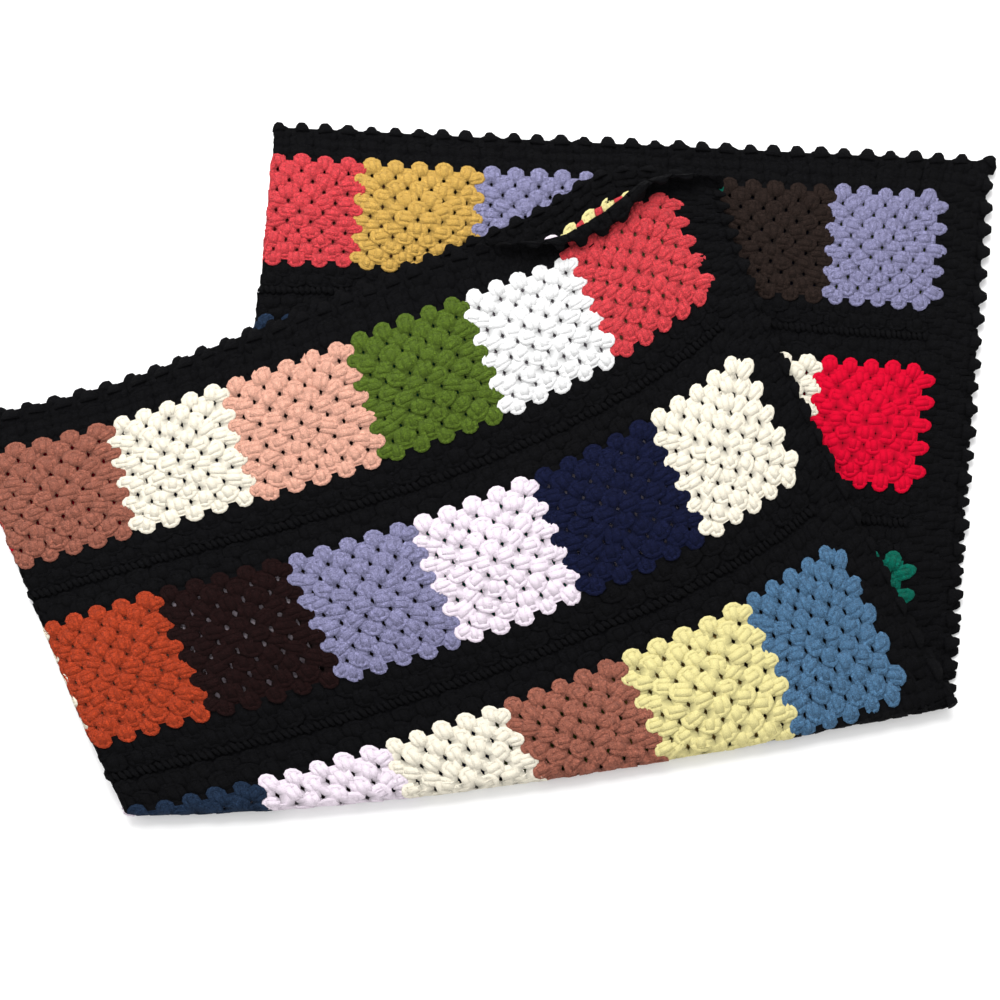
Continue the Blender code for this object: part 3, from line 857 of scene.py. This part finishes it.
def borderPlaces():
    # rows round the outside: three along the long edges, four along the ends
    clusters = []
    for way in (1, -1):
        turn = 0.0 if way > 0 else math.pi
        for number, offset in enumerate(black["edgeRows"]):
            v = way * (squaresV + offset)
            reach, _, count = edgeRow(offset)
            clusters += blackRow((-reach, v), (reach, v), count, turn, number)
        turn = -math.pi / 2 if way > 0 else math.pi / 2
        for number, offset in enumerate(black["endRows"]):
            u = way * (squaresU + offset)
            reach, count = endRow(offset)
            clusters += blackRow((u, -reach), (u, reach), count, turn, number)
    return clusters


def picotPlaces():
    # one on each cluster of the outermost rows; the ones next to the corners are moved out to them
    size = black["picotSize"]
    outU, outV = halfWidth - size[1], halfHeight - size[1]
    reachU, pitch, count = edgeRow(black["edgeRows"][-1])
    reachV, ends = endRow(black["endRows"][-1])
    places = []
    for way in (1, -1):
        turn = 0.0 if way > 0 else math.pi
        for k in range(1, count):
            places.append((-reachU + k * pitch, way * outV, 0.0, turn, *size))
        for k in range(ends):
            places.append((way * outU, reachV * ((2 * k + 1) / ends - 1), 0.0, turn - math.pi / 2, *size))
        for side in (1, -1):
            places.append((side * outU, way * outV, 0.0, turn - way * side * math.pi / 4, *size))
    return places


bandClusters, bandRidge = bandPlaces()
for name, clusters in (("blackBands", bandClusters), ("blackBorder", borderPlaces())):
    addPiece(name, crochetBoth(name, clusters, "black"))
for name, places, stitch in (("bandRidges", bandRidge, ridgeStitch), ("picots", picotPlaces(), picotStitch)):
    uneven = {"Uneven size": black["knobUneven"]}
    addPiece(name, [crochet(name, places, stitch, yarnMaterials["black"], **uneven)])
for stitch in (fineCluster, plainCluster, picotStitch, ridgeStitch):
    bpy.data.objects.remove(stitch, do_unlink=True)

# The cloth behind the stitches: one thin sheet with the gaps left open
ground = {
    "holeWidth": 0.0040,
    "holeHeight": 0.0062,
    # parts of that size, in some yarns
    "openness": {"crimson": 0.40, "rust": 0.60, "green": 0.75, "navy": 0.75, "maroon": 1.30},
    "hiddenHole": 0.60,      # and where the layer isn't seen from above
    # in the squares the cloth lies near their shown side, so the valleys between clusters are shallow
    "lift": 0.0008,
    # painted pit shade: the cloth's colour is darkened towards each gap
    "besidePitShade": 0.75,       # how dark the cloth is beside a gap, where 1 is right at it
    "blackRise": -0.0007,
    "bandCells": 5,
    "topCells": 3,
    "sideCells": 4,
    "bendError": 0.0003,     # cells are split until they follow the folds this closely
    "splitRounds": 4,
    "pointsPerMetre": 20000,     # corners closer than this grid are one
    "uvPerMetre": 100,
}
groundYarns = list(yarns)


class FlatMesh:
    def __init__(self):
        self.points, self.index, self.faces, self.yarn, self.pitShade = [], {}, [], [], []

    def point(self, u, v, rise=0.0, pitShade=0.0):
        key = (round(u * ground["pointsPerMetre"]), round(v * ground["pointsPerMetre"]))
        if key not in self.index:
            self.index[key] = len(self.points)
            self.points.append((u, v, rise))
            self.pitShade.append(pitShade)
        return self.index[key]

    def fan(self, middle, ring, yarn, closed):
        centre = self.point(*middle)
        ring = [self.point(*place) for place in ring]
        for a, b in zip(ring, ring[1:] + ring[:1] if closed else ring[1:]):
            self.faces.append((centre, a, b))
            self.yarn.append(yarn)

    def grid(self, columns, rows, yarn):
        # the black cloth, low under its stitches on the side that shows
        for u0, u1 in zip(columns, columns[1:]):
            for v0, v1 in zip(rows, rows[1:]):
                corners = ((u0, v0), (u1, v0), (u1, v1), (u0, v1))
                self.faces.append(tuple(self.point(u, v, ground["blackRise"] * shownSide(u, v))
                                        for u, v in corners))
                self.yarn.append(yarn)


def squareGround(flat, row, column):
    # a cell round each cluster; its corners are the gaps beside it, which stay open
    middleU, middleV = squareMiddle(row, column)
    name = squareYarns[row][column]
    part = ground["openness"].get(name, 1.0) if shows(middleU, middleV) else ground["hiddenHole"]
    a, b = ground["holeWidth"] / 2 * part, ground["holeHeight"] / 2 * part
    t = 1.0 / (stepU / a + stepV / b)
    ways = ((1, 0), (0, 1), (-1, 0), (0, -1))
    lift = ground["lift"]
    for i, j in clusterSteps():
        ring, gone = [], None
        for k, (di, dj) in enumerate(ways):
            ci, cj = i + di, j + dj
            if max(abs(ci), abs(cj)) > rounds:
                gone = len(ring)
                continue
            u, v = middleU + ci * stepU, middleV + cj * stepV
            if max(abs(ci), abs(cj)) == rounds:
                ring.append((u, v))
            else:
                pi, pj = dj, -di           # the way the ring comes from
                # painted pit shade: darkest at the gap's edge, a little less beside it
                for side, pitShade in ((1, ground["besidePitShade"]), (0, 1.0), (-1, ground["besidePitShade"])):
                    du, dv = (t * stepU, t * stepV) if side else (a, b)
                    ring.append((u + (side * pi - di) * du, v + (side * pj - dj) * dv, lift, pitShade))
            ni, nj = i + ways[(k + 1) % 4][0], j + ways[(k + 1) % 4][1]
            if max(abs(ni), abs(nj)) <= rounds:
                ring.append((middleU + (ci + ni) / 2 * stepU, middleV + (cj + nj) / 2 * stepV, lift))
        if gone is not None:
            ring = ring[gone:] + ring[:gone]
        centre = (middleU + i * stepU, middleV + j * stepV, lift if gone is None else 0.0)
        flat.fan(centre, ring, groundYarns.index(name), gone is None)


def groundMesh():
    flat = FlatMesh()
    for row in range(cloth["rows"]):
        for column in range(cloth["columns"]):
            squareGround(flat, row, column)
    inset = cloth["picotHeight"]
    columns = [-squaresU + k * stepU for k in range(2 * rounds * cloth["columns"] + 1)]
    blackIndex = groundYarns.index("black")
    sideV = list(np.linspace(-halfHeight + inset, -squaresV, ground["topCells"] + 1))
    for row in reversed(range(cloth["rows"])):
        middle = squareMiddle(row, 0)[1]
        sideV += [middle + j * stepV for j in range(-rounds + 1, rounds + 1)]
        if row > 0:
            top = middle + cloth["squareHeight"] / 2
            rows = list(np.linspace(top, top + cloth["bandHeight"], ground["bandCells"] + 1))
            flat.grid(columns, rows, blackIndex)
            sideV += rows[1:]
    topRows = list(np.linspace(squaresV, halfHeight - inset, ground["topCells"] + 1))
    sideV += topRows[1:]
    flat.grid(columns, topRows, blackIndex)
    flat.grid(columns, [-v for v in reversed(topRows)], blackIndex)
    sides = list(np.linspace(squaresU, halfWidth - inset, ground["sideCells"] + 1))
    flat.grid(sides, sideV, blackIndex)
    flat.grid([-u for u in reversed(sides)], sideV, blackIndex)
    return flat


def splitAtFolds(mesh):
    # halves the edges that would cut across a bend, a few times over
    built = bmesh.new()
    built.from_mesh(mesh)
    for _ in range(ground["splitRounds"]):
        built.verts.index_update()
        places = np.array([vertex.co[:] for vertex in built.verts])
        ends = np.array([(edge.verts[0].index, edge.verts[1].index) for edge in built.edges])
        a, b = places[ends[:, 0]], places[ends[:, 1]]
        folded = [foldCloth(*pullCloth(p[:, 0], p[:, 1]), p[:, 2]) for p in (a, b, (a + b) / 2)]
        error = np.linalg.norm((folded[0] + folded[1]) / 2 - folded[2], axis=1)
        edges = [edge for edge, far in zip(built.edges, error) if far > ground["bendError"]]
        if not edges:
            break
        bmesh.ops.subdivide_edges(built, edges=edges, cuts=1, use_grid_fill=True)
        bmesh.ops.triangulate(built, faces=[face for face in built.faces if len(face.verts) > 3])
    built.to_mesh(mesh)
    built.free()


flat = groundMesh()
mesh = bpy.data.meshes.new("groundCloth")
mesh.from_pydata(flat.points, [], flat.faces)
for name in groundYarns:
    mesh.materials.append(yarnMaterials[name])
mesh.polygons.foreach_set("material_index", flat.yarn)
mesh.attributes.new("pitShade", "FLOAT", "POINT").data.foreach_set("value", flat.pitShade)
splitAtFolds(mesh)
mesh.polygons.foreach_set("use_smooth", [True] * len(mesh.polygons))
layer = mesh.uv_layers.new(name="yarnUv")
corners = np.empty(len(mesh.loops), dtype=np.int32)
mesh.loops.foreach_get("vertex_index", corners)
places = np.empty(len(mesh.vertices) * 3)
mesh.vertices.foreach_get("co", places)
uvs = places.reshape(-1, 3)[corners][:, :2] * ground["uvPerMetre"]
layer.data.foreach_set("uv", uvs.astype(np.float32).ravel())
groundCloth = addObject("groundCloth", mesh)
drape(groundCloth)
print("ground cloth", len(mesh.polygons), "faces")

for piece in pieces:
    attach(piece, "root")
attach(groundCloth, "root")
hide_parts("blanket")

# Floor, light and camera
stage = {
    "floorSize": 6.0,
    "floorTone": 0.92,
    "floorRoughness": 0.95,
    "sky": 0.99,
    "keyPower": 70.0,
    "keySize": 1.5,
    "keyPlace": (-0.35, 1.55, 1.90),
    "cameraDistance": 1.30,
    "cameraTilt": 11.0,
    "lens": 45.0,
}
floorMesh = bpy.data.meshes.new("floor")
half = stage["floorSize"] / 2
corners = [(-half, -half, 0), (half, -half, 0), (half, half, 0), (-half, half, 0)]
floorMesh.from_pydata(corners, [], [(0, 1, 2, 3)])
floor = addObject("floor", floorMesh)
paint = bpy.data.materials.new("palePaint")
paint.use_nodes = True
feed(paint.node_tree, paint.node_tree.nodes["Principled BSDF"], {
    "Base Color": (stage["floorTone"],) * 3 + (1.0,), "Roughness": stage["floorRoughness"],
    "Specular IOR Level": 0.0})
floorMesh.materials.append(paint)

world = bpy.data.worlds.new("studio")
bpy.context.scene.world = world
world.use_nodes = True
feed(world.node_tree, world.node_tree.nodes["Background"], {
    "Color": (1.0, 1.0, 1.0, 1.0), "Strength": stage["sky"]})


def aimFrom(thing, place, aim):
    thing.location = place
    thing.rotation_mode = "QUATERNION"
    thing.rotation_quaternion = (Vector(aim) - Vector(place)).to_track_quat("-Z", "Y")


light = bpy.data.lights.new("key", "AREA")
light.energy, light.size = stage["keyPower"], stage["keySize"]
aimFrom(addObject("key", light), stage["keyPlace"], (0.0, 0.0, 0.0))
cameraData = bpy.data.cameras.new("camera")
cameraData.lens = stage["lens"]
camera = addObject("camera", cameraData)
distance, tilt = stage["cameraDistance"], math.radians(stage["cameraTilt"])
aim = Vector((-folds["planMiddle"][0], -folds["planMiddle"][1], 0.0))
aimFrom(camera, aim + Vector((0.0, -distance * math.sin(tilt), distance * math.cos(tilt))), aim)
bpy.context.scene.camera = camera
bpy.context.scene.view_settings.view_transform = "Standard"
print("stage ready")
